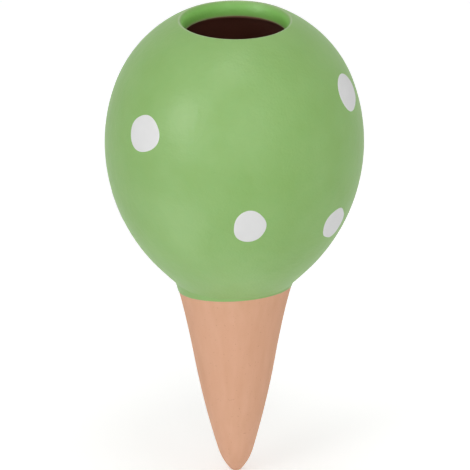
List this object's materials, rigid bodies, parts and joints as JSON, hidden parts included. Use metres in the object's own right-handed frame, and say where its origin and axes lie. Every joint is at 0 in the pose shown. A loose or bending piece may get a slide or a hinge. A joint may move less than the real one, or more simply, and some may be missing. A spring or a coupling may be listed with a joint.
{
  "type": "self watering spike",
  "caption": "Hollow terracotta watering bulb, painted green with white dots, open at the mouth, on a bare clay spike that seeps water into the soil of a pot.",
  "frame": {"origin": "on the axis, at the crease where the bulb meets the spike, which is level with the top of the soil in use", "axes": "+Z along the axis up to the open mouth, -Z down to the tip of the spike, -Y to the front that the picture shows"},
  "size_m": [0.093, 0.093, 0.1763],
  "materials": {
    "bare_clay": "bare, unglazed, matt",
    "green_paint": "satin brushed paint",
    "white_paint": "satin brushed paint"
  },
  "bodies": {
    "root": {"clay_bulb": "bare_clay", "clay_spike": "bare_clay", "slip_seam": "bare_clay", "green_coat": "green_paint", "white_dot_01": "white_paint", "white_dot_02": "white_paint", "white_dot_03": "white_paint", "white_dot_04": "white_paint", "white_dot_05": "white_paint", "white_dot_06": "white_paint", "white_dot_07": "white_paint", "white_dot_08": "white_paint", "white_dot_09": "white_paint"}
  },
  "joints": []
}
